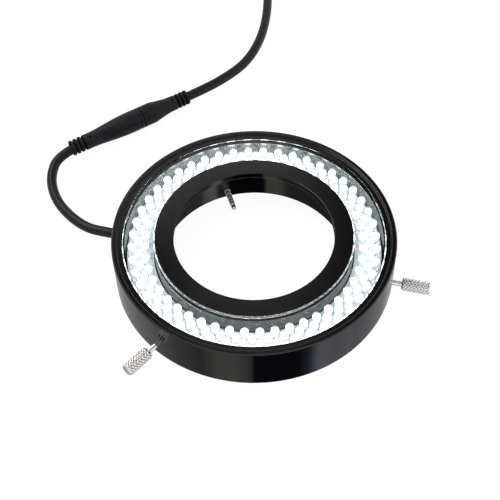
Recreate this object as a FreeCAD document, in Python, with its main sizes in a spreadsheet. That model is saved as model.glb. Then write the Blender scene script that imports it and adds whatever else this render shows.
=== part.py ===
import FreeCAD, Part
import Sketcher
import math
import os
import re

# LED ring illuminator for a stereo microscope.  Millimetres, +Z up, light side up.
# The origin is the middle of the collar's mouth, in the plane of the back face.

os.makedirs("parts", exist_ok=True)
doc = FreeCAD.newDocument("ring_illuminator")
sheet = doc.addObject("Spreadsheet::Sheet", "dims")

DIMENSIONS = {
    # housing shell: outer wall, rim and ledge
    "wall_outer": 54.0, "wall_inner": 50.0, "wall_lower": 49.2,
    "rim_inner": 52.0, "rim_top": 19.0, "rim_chamfer": 0.4, "ledge_top": 18.2,
    # inner collar: tube, and the lip round the light opening
    "collar_inner": 36.6, "collar_outer": 38.2,
    "lip_bore": 30.5, "lip_outer": 37.7, "lip_under": 16.3,
    # back cover, its countersunk screws and the spacers they bite in
    "cover_thick": 1.0, "cover_step": 0.6, "cover_gap": 0.05,
    "spacer_count": 6, "spacer_angle": 30.0, "spacer_circle": 43.7, "spacer_radius": 1.75,
    "cover_screw_radius": 0.8, "cover_screw_head": 1.6, "cover_screw_length": 4.0,
    # glass window and its two gaskets
    "glass_thick": 2.55, "glass_gap": 0.05, "gasket_thick": 0.35,
    # lamp board, lamps and the chips under the board
    "board_top": 8.6, "board_thick": 1.6, "board_gap": 0.4,
    "lamp_count": 48, "lamp_first_angle": 1.81,
    "lamp_circle_inner": 41.6, "lamp_circle_middle": 44.2, "lamp_circle_outer": 46.6,
    "lamp_radius": 1.5, "lamp_flange": 1.6, "lamp_flange_thick": 1.0,
    "lamp_length": 6.0, "lamp_stand": 0.8, "lead_pitch": 2.54, "lead_width": 0.45,
    "chip_count": 24, "chip_long": 2.0, "chip_wide": 1.2, "chip_thick": 0.5,
    "regulator_angle": 195.0, "regulator_long": 5.0, "regulator_wide": 4.0, "regulator_thick": 1.2,
    # clamping screws: three, evenly spaced, low in the wall
    "screw_count": 3, "screw_angle": -13.5, "screw_height": 3.2,
    "thread_radius": 1.2, "thread_bore": 1.25, "screw_nose": 30.6, "back_screw_in": 2.0,
    "knob_inner": 57.7, "knob_length": 10.8, "knob_radius": 2.5, "knob_chamfer": 0.5,
    "tip_front": 28.3, "tip_radius": 0.95, "tip_length": 1.8, "neck_radius": 0.6,
    "stem_length": 2.0, "stem_play": 0.05,
    "guide_start": 36.75, "guide_end": 51.0, "guide_radius": 2.1, "wall_hole": 1.35,
    # cord entry
    "cord_radius": 2.05, "cord_angle": 166.5, "cord_height": 4.1, "cord_play": 0.05,
    "grommet_radius": 2.7, "grommet_flange": 3.2, "grommet_flange_thick": 0.9,
    "clamp_start": 45.8, "clamp_length": 2.6, "sheath_end": 44.1, "wire_radius": 0.5,
    # in-line connector pair; positions run along its axis from the socket's cord end
    "joint_x": -76.1, "joint_y": 59.4, "joint_height": 4.65, "joint_angle": 31.55,
    "body_radius": 4.6, "edge_chamfer": 0.3, "cord_seat": 8.0,
    "socket_length": 33.4, "socket_neck": 3.35, "socket_neck_end": 9.5,
    "socket_bulge_end": 28.0, "socket_bulge": 150.0,
    "jack_floor": 23.4, "jack_radius": 2.8, "jack_wall": 0.4,
    "pin_radius": 1.0, "pin_back": 21.5, "pin_front": 32.4,
    "joint_gap": 0.2, "unplug_travel": 12.0,
    "barrel_radius": 2.75, "barrel_wall": 0.45, "barrel_length": 9.5, "barrel_root": 3.0,
    "barrel_neck": 2.55, "mouth_ring": 1.6, "mouth_gap": 0.6, "ring_floor": 4.3,
    "contact_bore": 1.1, "plug_length": 32.4, "plug_shoulder": 14.9, "plug_middle": 18.4,
    "plug_middle_radius": 3.95, "plug_neck_start": 22.4, "plug_neck": 3.2, "plug_curve": 12.5,
    "rib_pitch": 2.0, "rib_gap": 1.0, "rib_floor": 2.55,
    # coil of the supply lead, its tie and the plug at the far end
    "coil_x": -22.8, "coil_y": 197.0, "coil_inner": 15.0, "coil_outer": 34.9,
    "coil_height": 8.35, "coil_chamfer": 1.5,
    "tie_angle": 155.0, "tie_thick": 0.6, "tie_width": 4.0,
    "end_plug_x": -79.2, "end_plug_y": 229.6,
}
for row, (alias, number) in enumerate(DIMENSIONS.items(), start=1):
    sheet.set("A%d" % row, alias)
    sheet.set("B%d" % row, str(number))
    sheet.setAlias("B%d" % row, alias)
doc.recompute()

NODES = []


def formula(text):
    """Put the sheet's name before each alias in an expression."""
    return re.sub(r"\b([a-z][a-z_]*)\b", r"dims.\1", text)


def size(text):
    """The value of an expression in the sheet's aliases."""
    return float(sheet.evalExpression(formula(text)))


def keep(item, label):
    """Mark an object as a finished sub-part, named after its node."""
    item.Label = label
    NODES.append(item)
    return item


def turn_to(item, angle, x=0.0, y=0.0, z=0.0):
    """Stand an object, modelled along +X, at a place and heading."""
    spin = FreeCAD.Rotation(FreeCAD.Vector(0, 0, 1), angle)
    item.Placement = FreeCAD.Placement(FreeCAD.Vector(x, y, z), spin)
    return item


def outline_sketch(body, name, points):
    """Closed outline on the XZ plane.

    A point is (x, z) or (x, z, radius): with a radius, the side that ends there is an arc
    that bulges away from the X axis, or towards it when the radius starts with a minus.
    """
    sketch = body.newObject("Sketcher::SketchObject", name)
    plane = [f for f in body.Origin.OriginFeatures if f.Role == "XZ_Plane"][0]
    sketch.AttachmentSupport = [(plane, "")]
    sketch.MapMode = "FlatFace"
    corner = [FreeCAD.Vector(size(p[0]), size(p[1]), 0) for p in points]
    ends = []
    for i, point in enumerate(points):
        start, end = corner[i - 1], corner[i]
        if len(point) == 2:
            sketch.addGeometry(Part.LineSegment(start, end), False)
            ends.append((1, 2))
            continue
        outward = -1.0 if point[2].startswith("-") else 1.0
        radius = size(point[2].lstrip("-"))
        chord = end - start
        across = FreeCAD.Vector(-chord.y, chord.x, 0).normalize()
        if across.y * outward < 0:
            across = across * -1.0
        inset = math.sqrt(radius ** 2 - (chord.Length / 2) ** 2)
        centre = (start + end) * 0.5 - across * inset
        forward = (start - centre).cross(end - centre).z > 0
        first, last = (start, end) if forward else (end, start)
        angle_first = math.atan2(first.y - centre.y, first.x - centre.x)
        angle_last = math.atan2(last.y - centre.y, last.x - centre.x)
        round_side = Part.Circle(centre, FreeCAD.Vector(0, 0, 1), radius)
        sketch.addGeometry(Part.ArcOfCircle(round_side, angle_first, angle_last), False)
        ends.append((1, 2) if forward else (2, 1))
    for i, point in enumerate(points):
        following = (i + 1) % len(points)
        tail = ends[i][1]
        head = ends[following][0]
        sketch.addConstraint(Sketcher.Constraint("Coincident", i, tail, following, head))
        for kind, axis, text in (("DistanceX", -2, point[0]), ("DistanceY", -1, point[1])):
            if abs(size(text)) < 1e-9:
                sketch.addConstraint(Sketcher.Constraint("PointOnObject", i, tail, axis))
                continue
            rule = Sketcher.Constraint(kind, -1, 1, i, tail, size(text))
            number = sketch.addConstraint(rule)
            sketch.setExpression("Constraints[%d]" % number, formula(text))
        if len(point) == 3:
            text = point[2].lstrip("-")
            number = sketch.addConstraint(Sketcher.Constraint("Radius", i, size(text)))
            sketch.setExpression("Constraints[%d]" % number, formula(text))
    return sketch


def lathe(name, points, axis):
    """PartDesign body turned from an outline: about Z (V_Axis) or about X (H_Axis)."""
    body = doc.addObject("PartDesign::Body", name)
    sketch = outline_sketch(body, name + "_outline", points)
    turned = body.newObject("PartDesign::Revolution", name + "_turned")
    turned.Profile = sketch
    turned.ReferenceAxis = (sketch, [axis])
    turned.Angle = 360.0
    sketch.Visibility = False
    doc.recompute()
    if "Invalid" in turned.State or turned.Shape.isNull():
        raise RuntimeError("%s was not turned" % name)
    return body


def rings(body, name, start, gap, floor, count):
    """Cut evenly spaced rings, down to a floor radius, into a body turned about X."""
    before = body.Shape.Volume
    stop = start + " + " + gap
    points = [(start, floor), (stop, floor),
              (stop, "body_radius + 1"), (start, "body_radius + 1")]
    sketch = outline_sketch(body, name + "_ring", points)
    ring = body.newObject("PartDesign::Groove", name + "_groove")
    ring.Profile = sketch
    ring.ReferenceAxis = (sketch, ["H_Axis"])
    ring.Angle = 360.0
    doc.recompute()
    if count > 1:
        row = body.newObject("PartDesign::LinearPattern", name + "_pattern")
        row.Originals = [ring]
        row.Direction = (sketch, ["H_Axis"])
        row.Occurrences = count
        row.Length = size("rib_pitch") * (count - 1)
        row.setExpression("Length", formula("rib_pitch * %d" % (count - 1)))
        body.Tip = row
        doc.recompute()
    if body.Shape.Volume >= before:
        raise ValueError(name + " cut nothing")


def radial_rod(name, radius, start, end, angle, height):
    """Cylinder that points out from the ring's axis."""
    rod = doc.addObject("Part::Cylinder", name)
    rod.setExpression("Radius", formula(radius))
    rod.setExpression("Height", formula("%s - (%s)" % (end, start)))
    lie = FreeCAD.Rotation(FreeCAD.Vector(0, 1, 0), 90)
    spin = FreeCAD.Rotation(FreeCAD.Vector(0, 0, 1), angle)
    turn = math.radians(angle)
    place = FreeCAD.Vector(size(start) * math.cos(turn), size(start) * math.sin(turn), size(height))
    rod.Placement = FreeCAD.Placement(place, spin.multiply(lie))
    return rod


def cut(label, base, tools):
    """Base less its tools, as one parametric cut."""
    tool = tools[0]
    if len(tools) > 1:
        tool = doc.addObject("Part::MultiFuse", label + "_drills")
        tool.Shapes = tools
    left = doc.addObject("Part::Cut", label + "_cut")
    left.Base = base
    left.Tool = tool
    return keep(left, label)


def fixed_shape(label, shape):
    """Sub-part whose repeated solids are placed by a loop."""
    item = doc.addObject("Part::Feature", label)
    item.Shape = shape
    item.Placement = FreeCAD.Placement()
    return keep(item, label)


def on_circle(shape, radius, angle, height):
    """Copy of a solid moved out to a radius and turned to face it."""
    spin = FreeCAD.Rotation(FreeCAD.Vector(0, 0, 1), angle)
    turn = math.radians(angle)
    place = FreeCAD.Vector(radius * math.cos(turn), radius * math.sin(turn), height)
    copy = shape.copy()
    copy.Placement = FreeCAD.Placement(place, spin)
    return copy


def route_wire(points):
    """Straight runs joined by tangent arcs, each as large as its two runs allow."""
    corner = [FreeCAD.Vector(*p) for p in points]
    edges = []
    radii = []
    last = corner[0]
    for i in range(1, len(corner) - 1):
        back = corner[i - 1] - corner[i]
        ahead = corner[i + 1] - corner[i]
        reach = 0.45 * min(back.Length, ahead.Length)
        half_turn = (math.pi - back.getAngle(ahead)) / 2
        radius = reach / math.tan(half_turn)
        back.normalize()
        ahead.normalize()
        begin = corner[i] + back * reach
        end = corner[i] + ahead * reach
        inward = (back + ahead).normalize()
        nearest = math.hypot(radius, reach) - radius
        edges.append(Part.LineSegment(last, begin).toShape())
        edges.append(Part.Arc(begin, corner[i] + inward * nearest, end).toShape())
        radii.append(round(radius, 1))
        last = end
    edges.append(Part.LineSegment(last, corner[-1]).toShape())
    return Part.Wire(edges), radii


def tube(label, points, radius):
    """Round cord or wire along a route."""
    path, radii = route_wire(points)
    heading = FreeCAD.Vector(*points[1]) - FreeCAD.Vector(*points[0])
    ring = Part.Circle(FreeCAD.Vector(*points[0]), heading, radius).toShape()
    solid = path.makePipeShell([Part.Wire([ring])], True, True)
    expected = math.pi * radius ** 2 * path.Length
    print(label, "length", round(path.Length, 1), "radii", radii,
          "volume ratio", round(solid.Volume / expected, 4))
    return fixed_shape(label, solid)


# ---------------------------------------------------------------- housing
# The shell is the outer wall.  Its rim stands above a ledge, and a shoulder
# inside it carries the window.  The back cover sits in a rebate at the foot.
shell_blank = lathe("shell_blank", [
    ("wall_outer", "0"),
    ("wall_outer", "rim_top - rim_chamfer"),
    ("wall_outer - rim_chamfer", "rim_top"),
    ("rim_inner", "rim_top"),
    ("rim_inner", "ledge_top"),
    ("wall_inner", "ledge_top"),
    ("wall_inner", "ledge_top - glass_thick - gasket_thick"),
    ("wall_lower", "ledge_top - glass_thick - gasket_thick"),
    ("wall_lower", "cover_thick"),
    ("wall_lower + cover_step", "cover_thick"),
    ("wall_lower + cover_step", "0"),
], "V_Axis")

# The collar is the inner tube with a lip at the light side.  The microscope's
# head enters it from the back, and the objectives look through the lip.
collar_blank = lathe("collar_blank", [
    ("collar_inner", "0"),
    ("collar_outer - cover_step", "0"),
    ("collar_outer - cover_step", "cover_thick"),
    ("collar_outer", "cover_thick"),
    ("collar_outer", "ledge_top - glass_thick - gasket_thick"),
    ("lip_outer", "ledge_top - glass_thick - gasket_thick"),
    ("lip_outer", "rim_top"),
    ("lip_bore", "rim_top"),
    ("lip_bore", "lip_under"),
    ("collar_inner", "lip_under"),
], "V_Axis")

screw_angles = [size("screw_angle") + 360.0 / size("screw_count") * i
                for i in range(int(size("screw_count")))]
shell_drills = []
collar_drills = []
for i, angle in enumerate(screw_angles, start=1):
    shell_drills.append(radial_rod("shell_hole_%d" % i, "wall_hole", "wall_lower - 1",
                                   "wall_outer + 1", angle, "screw_height"))
    shell_drills.append(radial_rod("shell_seat_%d" % i, "guide_radius", "wall_lower - 1",
                                   "guide_end", angle, "screw_height"))
    collar_drills.append(radial_rod("collar_hole_%d" % i, "guide_radius", "collar_inner - 1",
                                    "collar_outer + 1", angle, "screw_height"))
shell_drills.append(radial_rod("shell_cord_hole", "grommet_radius", "wall_lower - 1",
                               "wall_outer + 1", size("cord_angle"), "cord_height"))
cut("housing_shell", shell_blank, shell_drills)
cut("inner_collar", collar_blank, collar_drills)

# Each clamping screw runs in a threaded tube that spans the hollow housing.
for i, angle in enumerate(screw_angles, start=1):
    guide = lathe("guide_%d" % i, [
        ("guide_start", "thread_bore"), ("guide_end", "thread_bore"),
        ("guide_end", "guide_radius"), ("guide_start", "guide_radius")], "H_Axis")
    keep(turn_to(guide, angle, z=size("screw_height")), "screw_guide_%d" % i)

# The back cover closes the hollow between the two walls.
cover_blank = lathe("cover_blank", [
    ("collar_outer - cover_step + cover_gap", "0"),
    ("wall_lower + cover_step - cover_gap", "0"),
    ("wall_lower + cover_step - cover_gap", "cover_thick"),
    ("collar_outer - cover_step + cover_gap", "cover_thick")], "V_Axis")
sinks = []
spacer_angles = [size("spacer_angle") + 360.0 / size("spacer_count") * i
                 for i in range(int(size("spacer_count")))]
for i, angle in enumerate(spacer_angles, start=1):
    sink = doc.addObject("Part::Cone", "cover_sink_%d" % i)
    sink.setExpression("Radius1", formula("cover_screw_head + cover_gap"))
    sink.setExpression("Radius2", formula("cover_screw_radius + cover_gap"))
    sink.setExpression("Height", formula("cover_thick"))
    turn = math.radians(angle)
    circle = size("spacer_circle")
    sink.Placement.Base = FreeCAD.Vector(circle * math.cos(turn), circle * math.sin(turn), 0)
    sinks.append(sink)
cut("back_cover", cover_blank, sinks)


def cover_screw():
    """Countersunk screw, head down, with a driver slot."""
    radius = size("cover_screw_radius")
    head = Part.makeCone(size("cover_screw_head"), radius, size("cover_thick"))
    shaft = Part.makeCylinder(radius, size("cover_screw_length"))
    slot = Part.makeBox(4, 0.4, 0.35, FreeCAD.Vector(-2, -0.2, 0))
    return head.fuse(shaft).cut(slot).removeSplitter()


def spacer():
    """Round spacer between the cover and the board, tapped from below."""
    length = size("board_top - board_thick - cover_thick")
    post = Part.makeCylinder(size("spacer_radius"), length)
    depth = size("cover_screw_length - cover_thick") + 0.5
    tapped = Part.makeCylinder(size("cover_screw_radius + cover_gap"), depth)
    return post.cut(tapped)


circle = size("spacer_circle")
fixed_shape("cover_screws", Part.Compound(
    [on_circle(cover_screw(), circle, a, 0) for a in spacer_angles]))
fixed_shape("board_spacers", Part.Compound(
    [on_circle(spacer(), circle, a, size("cover_thick")) for a in spacer_angles]))

# The window is a flat glass ring, flush with the ledge, on two gaskets.
keep(lathe("window", [
    ("lip_outer + glass_gap", "ledge_top - glass_thick"),
    ("wall_inner - glass_gap", "ledge_top - glass_thick"),
    ("wall_inner - glass_gap", "ledge_top"),
    ("lip_outer + glass_gap", "ledge_top")], "V_Axis"), "cover_glass")
for label, inner, outer in (("gasket_outer", "wall_lower", "wall_inner"),
                            ("gasket_inner", "lip_outer", "collar_outer")):
    keep(lathe(label + "_ring", [
        (inner, "ledge_top - glass_thick - gasket_thick"),
        (outer, "ledge_top - glass_thick - gasket_thick"),
        (outer, "ledge_top - glass_thick"),
        (inner, "ledge_top - glass_thick")], "V_Axis"), label)

# ---------------------------------------------------------------- lamps
# The board is an annulus.  It carries three circles of lamps, the middle one
# turned by half a step, and its chips hang underneath.
keep(lathe("board", [
    ("collar_outer + board_gap", "board_top - board_thick"),
    ("wall_lower - board_gap", "board_top - board_thick"),
    ("wall_lower - board_gap", "board_top"),
    ("collar_outer + board_gap", "board_top")], "V_Axis"), "led_board")


def lamp():
    """Domed lamp on two wire legs, standing on the board."""
    radius = size("lamp_radius")
    stand = size("lamp_stand")
    dome = size("lamp_stand + lamp_length - lamp_radius")
    flange = Part.makeCylinder(size("lamp_flange"), size("lamp_flange_thick"),
                               FreeCAD.Vector(0, 0, stand))
    barrel = Part.makeCylinder(radius, dome - stand, FreeCAD.Vector(0, 0, stand))
    cap = Part.makeSphere(radius, FreeCAD.Vector(0, 0, dome))
    width = size("lead_width")
    legs = [Part.makeBox(width, width, stand + 0.2,
                         FreeCAD.Vector(-width / 2, side * size("lead_pitch") / 2 - width / 2, 0))
            for side in (-1, 1)]
    return flange.fuse([barrel, cap] + legs).removeSplitter()


one_lamp = lamp()
lamps = int(size("lamp_count"))
for name, shift in (("inner", 0.0), ("middle", 0.5), ("outer", 0.0)):
    circle = size("lamp_circle_" + name)
    turns = [size("lamp_first_angle") + 360.0 / lamps * (k + shift) for k in range(lamps)]
    fixed_shape("led_row_" + name, Part.Compound(
        [on_circle(one_lamp, circle, a, size("board_top")) for a in turns]))


def chip(long, wide, thick):
    """Flat chip that hangs under the board, its long side along the circle."""
    return Part.makeBox(wide, long, thick, FreeCAD.Vector(-wide / 2, -long / 2, -thick))


underside = size("board_top - board_thick")
circle = size("spacer_circle")
chips = int(size("chip_count"))
small = chip(size("chip_long"), size("chip_wide"), size("chip_thick"))
fixed_shape("board_resistors", Part.Compound(
    [on_circle(small, circle, 360.0 / chips * (k + 0.5), underside) for k in range(chips)]))
large = chip(size("regulator_long"), size("regulator_wide"), size("regulator_thick"))
fixed_shape("board_regulator", Part.Compound(
    [on_circle(large, circle, size("regulator_angle"), underside)]))

# ---------------------------------------------------------------- clamping screws
# Each screw is one turned piece with a knurled knob.  A ball-nosed tip swivels
# on a stem in its end, so that it doesn't scratch what it grips.  The back screw, the
# second one, is screwed further in than the other two.
for i, angle in enumerate(screw_angles, start=1):
    height = size("screw_height")
    inwards = size("back_screw_in") if i == 2 else 0.0
    shift_x = -inwards * math.cos(math.radians(angle))
    shift_y = -inwards * math.sin(math.radians(angle))
    screw = lathe("screw_%d" % i, [
        ("screw_nose", "neck_radius + stem_play"),
        ("screw_nose + stem_length + stem_play", "neck_radius + stem_play"),
        ("screw_nose + stem_length + stem_play", "0"),
        ("knob_inner + knob_length", "0"),
        ("knob_inner + knob_length", "knob_radius - knob_chamfer"),
        ("knob_inner + knob_length - knob_chamfer", "knob_radius"),
        ("knob_inner + knob_chamfer", "knob_radius"),
        ("knob_inner", "knob_radius - knob_chamfer"),
        ("knob_inner", "thread_radius"),
        ("screw_nose", "thread_radius")], "H_Axis")
    keep(turn_to(screw, angle, shift_x, shift_y, height), "thumbscrew_%d" % i)
    tip = lathe("tip_%d" % i, [
        ("tip_front", "0"),
        ("tip_front + tip_radius", "tip_radius", "tip_radius"),
        ("tip_front + tip_length", "tip_radius"),
        ("tip_front + tip_length", "neck_radius"),
        ("screw_nose + stem_length", "neck_radius"),
        ("screw_nose + stem_length", "0")], "H_Axis")
    keep(turn_to(tip, angle, shift_x, shift_y, height), "swivel_tip_%d" % i)

# ---------------------------------------------------------------- cord entry
grommet = lathe("grommet", [
    ("wall_lower", "cord_radius + cord_play"),
    ("wall_outer + grommet_flange_thick", "cord_radius + cord_play"),
    ("wall_outer + grommet_flange_thick", "grommet_flange - 0.3"),
    ("wall_outer + grommet_flange_thick - 0.3", "grommet_flange"),
    ("wall_outer", "grommet_flange"),
    ("wall_outer", "grommet_radius"),
    ("wall_lower", "grommet_radius")], "H_Axis")
keep(turn_to(grommet, size("cord_angle"), z=size("cord_height")), "cord_grommet")
clamp = lathe("clamp", [
    ("clamp_start", "cord_radius + cord_play"),
    ("clamp_start + clamp_length", "cord_radius + cord_play"),
    ("clamp_start + clamp_length", "grommet_radius"),
    ("clamp_start", "grommet_radius")], "H_Axis")
keep(turn_to(clamp, size("cord_angle"), z=size("cord_height")), "cord_clamp")

# Two wires leave the cord's sheath and rise to the underside of the board.  Each
# starts a hair short of the cut sheath, where its core would run on inside it.
wire_start = size("sheath_end") - 0.05
for label, side in (("wire_positive", 1), ("wire_negative", -1)):
    spin = math.radians(size("cord_angle"))
    local = [(wire_start, side * 0.9, size("cord_height")),
             (size("sheath_end") - 1.7, side * 1.1, size("cord_height")),
             (size("sheath_end") - 2.4, side * 2.2, size("cord_height") + 1.0),
             (size("sheath_end") - 2.4, side * 2.6, underside - 0.7),
             (size("sheath_end") - 2.4, side * 2.6, underside)]
    world = [(x * math.cos(spin) - y * math.sin(spin), x * math.sin(spin) + y * math.cos(spin), z)
             for x, y, z in local]
    tube(label, world, size("wire_radius"))

# ---------------------------------------------------------------- in-line connector
# The ring's own lead ends in a moulded socket, and the supply lead's plug is
# pushed into it.  Both halves taper to ribbed strain reliefs.
joint = FreeCAD.Vector(size("joint_x"), size("joint_y"), size("joint_height"))
heading = size("joint_angle")
along = FreeCAD.Vector(math.cos(math.radians(heading)), math.sin(math.radians(heading)), 0)

socket = lathe("socket", [
    ("0", "cord_radius + cord_play"),
    ("cord_seat", "cord_radius + cord_play"),
    ("cord_seat", "0"),
    ("pin_back", "0"),
    ("pin_back", "pin_radius"),
    ("jack_floor", "pin_radius"),
    ("jack_floor", "jack_radius + jack_wall"),
    ("socket_length", "jack_radius + jack_wall"),
    ("socket_length", "body_radius - edge_chamfer"),
    ("socket_length - edge_chamfer", "body_radius"),
    ("socket_bulge_end", "body_radius"),
    ("socket_neck_end", "socket_neck", "socket_bulge"),
    ("edge_chamfer", "socket_neck"),
    ("0", "socket_neck - edge_chamfer")], "H_Axis")
rings(socket, "socket_relief", "rib_pitch - rib_gap", "rib_gap", "rib_floor", 3)
rings(socket, "socket_mouth", "socket_length - mouth_ring - mouth_gap",
      "mouth_gap", "ring_floor", 1)
contact = lathe("contact", [
    ("jack_floor", "jack_radius"),
    ("socket_length", "jack_radius"),
    ("socket_length", "jack_radius + jack_wall"),
    ("jack_floor", "jack_radius + jack_wall")], "H_Axis")
pin = lathe("pin", [
    ("pin_back", "0"),
    ("pin_front", "0"),
    ("pin_front - pin_radius", "pin_radius", "pin_radius"),
    ("pin_back", "pin_radius")], "H_Axis")
for item, label in ((socket, "socket_body"), (contact, "socket_contact"), (pin, "socket_pin")):
    keep(turn_to(item, heading, *joint), label)


def plug(prefix, angle, tip):
    """Moulded barrel plug: +X runs from the barrel's tip to the cord."""
    body = lathe(prefix, [
        ("barrel_length", "barrel_neck"),
        ("barrel_length + barrel_root", "barrel_neck"),
        ("barrel_length + barrel_root", "0"),
        ("plug_length - cord_seat", "0"),
        ("plug_length - cord_seat", "cord_radius + cord_play"),
        ("plug_length", "cord_radius + cord_play"),
        ("plug_length", "plug_neck - edge_chamfer"),
        ("plug_length - edge_chamfer", "plug_neck"),
        ("plug_neck_start", "plug_neck + 0.1"),
        ("plug_middle", "plug_middle_radius", "-plug_curve"),
        ("plug_shoulder", "body_radius", "plug_curve"),
        ("barrel_length + edge_chamfer", "body_radius"),
        ("barrel_length", "body_radius - edge_chamfer")], "H_Axis")
    rings(body, prefix + "_relief", "plug_length - rib_pitch * 3", "rib_gap", "rib_floor", 3)
    rings(body, prefix + "_mouth", "barrel_length + mouth_ring", "mouth_gap", "ring_floor", 1)
    barrel = lathe(prefix + "_tube", [
        ("0", "barrel_radius - barrel_wall"),
        ("barrel_length + barrel_root", "barrel_radius - barrel_wall"),
        ("barrel_length + barrel_root", "barrel_neck"),
        ("barrel_length", "barrel_neck"),
        ("barrel_length", "barrel_radius"),
        ("0.2", "barrel_radius"),
        ("0", "barrel_radius - 0.2")], "H_Axis")
    core = lathe(prefix + "_core", [
        ("0.2", "contact_bore"),
        ("barrel_length + barrel_root", "contact_bore"),
        ("barrel_length + barrel_root", "barrel_radius - barrel_wall"),
        ("0.2", "barrel_radius - barrel_wall")], "H_Axis")
    for item, suffix in ((body, "_body"), (barrel, "_barrel"), (core, "_insulator")):
        keep(turn_to(item, angle, *tip), prefix + suffix)


plug_tip = joint + along * size("socket_length + joint_gap - barrel_length")
plug("supply_plug", heading, plug_tip)
end_tip = FreeCAD.Vector(size("end_plug_x"), size("end_plug_y"), size("joint_height"))
plug("end_plug", 0.0, end_tip)

# ---------------------------------------------------------------- cords
# The ring lead leaves the wall radially, comes down to the bench in one bend
# and rises a little into the socket.
start = FreeCAD.Vector(1, 0, 0)
start = FreeCAD.Rotation(FreeCAD.Vector(0, 0, 1), size("cord_angle")).multVec(start)
lift = size("cord_height")
seat = joint + along * size("cord_seat")
before_seat = joint - along * 6.0
tube("ring_lead", [
    (start.x * size("sheath_end"), start.y * size("sheath_end"), lift),
    (start.x * 60.5, start.y * 60.5, lift),
    (-67.0, 17.5, 3.1),
    (-75.1, 25.3, 2.3),
    (-81.2, 34.4, 2.1),
    (-84.1, 45.6, 2.5),
    tuple(before_seat),
    tuple(seat),
], size("cord_radius"))

# The supply lead goes on from the plug, lies along the bench and ends in the coil.
supply_end = plug_tip + along * size("plug_length")
tube("supply_lead", [
    tuple(supply_end - along * size("cord_seat")),
    tuple(supply_end + along * 7.0),
    (-12.0, 101.6, 3.0),
    (-1.5, 113.0, 2.1),
    (5.8, 129.5, 2.1),
    (9.3, 150.0, 2.1),
    (9.4, 169.5, 2.1),
    (9.0, 187.0, 2.1),
], size("cord_radius"))
keep(turn_to(lathe("coil", [
    ("coil_inner", "coil_chamfer"),
    ("coil_inner + coil_chamfer", "0"),
    ("coil_outer - coil_chamfer", "0"),
    ("coil_outer", "coil_chamfer"),
    ("coil_outer", "coil_height - coil_chamfer"),
    ("coil_outer - coil_chamfer", "coil_height"),
    ("coil_inner + coil_chamfer", "coil_height"),
    ("coil_inner", "coil_height - coil_chamfer")], "V_Axis"),
    0.0, size("coil_x"), size("coil_y")), "supply_coil")
tube("supply_tail", [
    (-31.0, 229.9, 6.15),
    (-37.0, 229.75, 5.2),
    (-42.5, 229.6, 4.65),
    (-54.8, 229.6, 4.65),
], size("cord_radius"))

# A strip goes once round the coil's turns and holds them together.
outside = doc.addObject("Part::Box", "tie_outside")
outside.setExpression("Length", formula("coil_outer - coil_inner + tie_thick * 2"))
outside.setExpression("Width", formula("tie_width"))
outside.setExpression("Height", formula("coil_height + tie_thick"))
inside = doc.addObject("Part::Box", "tie_inside")
inside.setExpression("Length", formula("coil_outer - coil_inner"))
inside.setExpression("Width", formula("tie_width"))
inside.setExpression("Height", formula("coil_height - tie_thick"))
inside.Placement.Base = FreeCAD.Vector(size("tie_thick"), 0, size("tie_thick"))
strip = cut("coil_tie", outside, [inside])
tie_angle = size("tie_angle")
across = FreeCAD.Rotation(FreeCAD.Vector(0, 0, 1), tie_angle)
corner = across.multVec(FreeCAD.Vector(size("coil_inner - tie_thick"), -size("tie_width") / 2, 0))
turn_to(strip, tie_angle, size("coil_x") + corner.x, size("coil_y") + corner.y)

# ---------------------------------------------------------------- checks and export
doc.recompute()
for item in doc.Objects:
    if "Invalid" in item.State or "Error" in item.State:
        raise RuntimeError("%s failed: %s" % (item.Label, item.State))
for item in NODES:
    shape = item.Shape
    if shape.isNull() or not shape.isValid() or shape.Volume <= 0:
        raise RuntimeError("%s has no valid solid" % item.Label)
    shape.exportStep("parts/%s.step" % item.Label)
print(len(NODES), "sub-parts written")
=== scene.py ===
import math

import bmesh
import bpy
from mathutils import Matrix, Vector


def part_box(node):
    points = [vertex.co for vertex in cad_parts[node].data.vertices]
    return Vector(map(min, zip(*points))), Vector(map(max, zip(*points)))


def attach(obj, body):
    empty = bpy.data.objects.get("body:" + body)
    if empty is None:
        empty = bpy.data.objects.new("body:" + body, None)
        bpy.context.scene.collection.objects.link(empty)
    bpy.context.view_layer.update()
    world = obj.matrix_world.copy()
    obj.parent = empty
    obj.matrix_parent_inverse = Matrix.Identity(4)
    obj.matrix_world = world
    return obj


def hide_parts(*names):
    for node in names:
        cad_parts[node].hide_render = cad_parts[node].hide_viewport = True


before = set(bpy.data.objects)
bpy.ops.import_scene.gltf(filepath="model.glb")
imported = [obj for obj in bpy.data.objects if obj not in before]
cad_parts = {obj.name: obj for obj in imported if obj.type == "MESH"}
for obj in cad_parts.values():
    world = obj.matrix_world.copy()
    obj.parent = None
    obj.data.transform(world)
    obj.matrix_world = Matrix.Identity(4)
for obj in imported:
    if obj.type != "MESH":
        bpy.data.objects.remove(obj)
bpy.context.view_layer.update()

# ---------------------------------------------------------------- camera
# The ring lies on a bench with its lamps up, seen from the front and well above
# it, with a long lens, so that its circles are only a little wider at the front.
mm = 0.001
looking_down = math.radians(52.30)
head_tilt = math.radians(-1.171)
aim = Vector((-1.61, 6.86, 0.0)) * mm
camera_distance = 424 * mm
backwards = Vector((0, -math.cos(looking_down), math.sin(looking_down)))
level = Vector((1, 0, 0))
upright = Vector((0, math.sin(looking_down), math.cos(looking_down)))
to_right = math.cos(head_tilt) * level + math.sin(head_tilt) * upright
to_top = math.cos(head_tilt) * upright - math.sin(head_tilt) * level
camera = bpy.data.objects.new("camera", bpy.data.cameras.new("camera"))
camera.data.lens = 77.1
camera.data.sensor_width = 36.0
bpy.context.scene.collection.objects.link(camera)
turned_frame = Matrix((to_right, to_top, backwards)).transposed().to_4x4()
camera.matrix_world = Matrix.Translation(aim + backwards * camera_distance) @ turned_frame
bpy.context.scene.camera = camera
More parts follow.
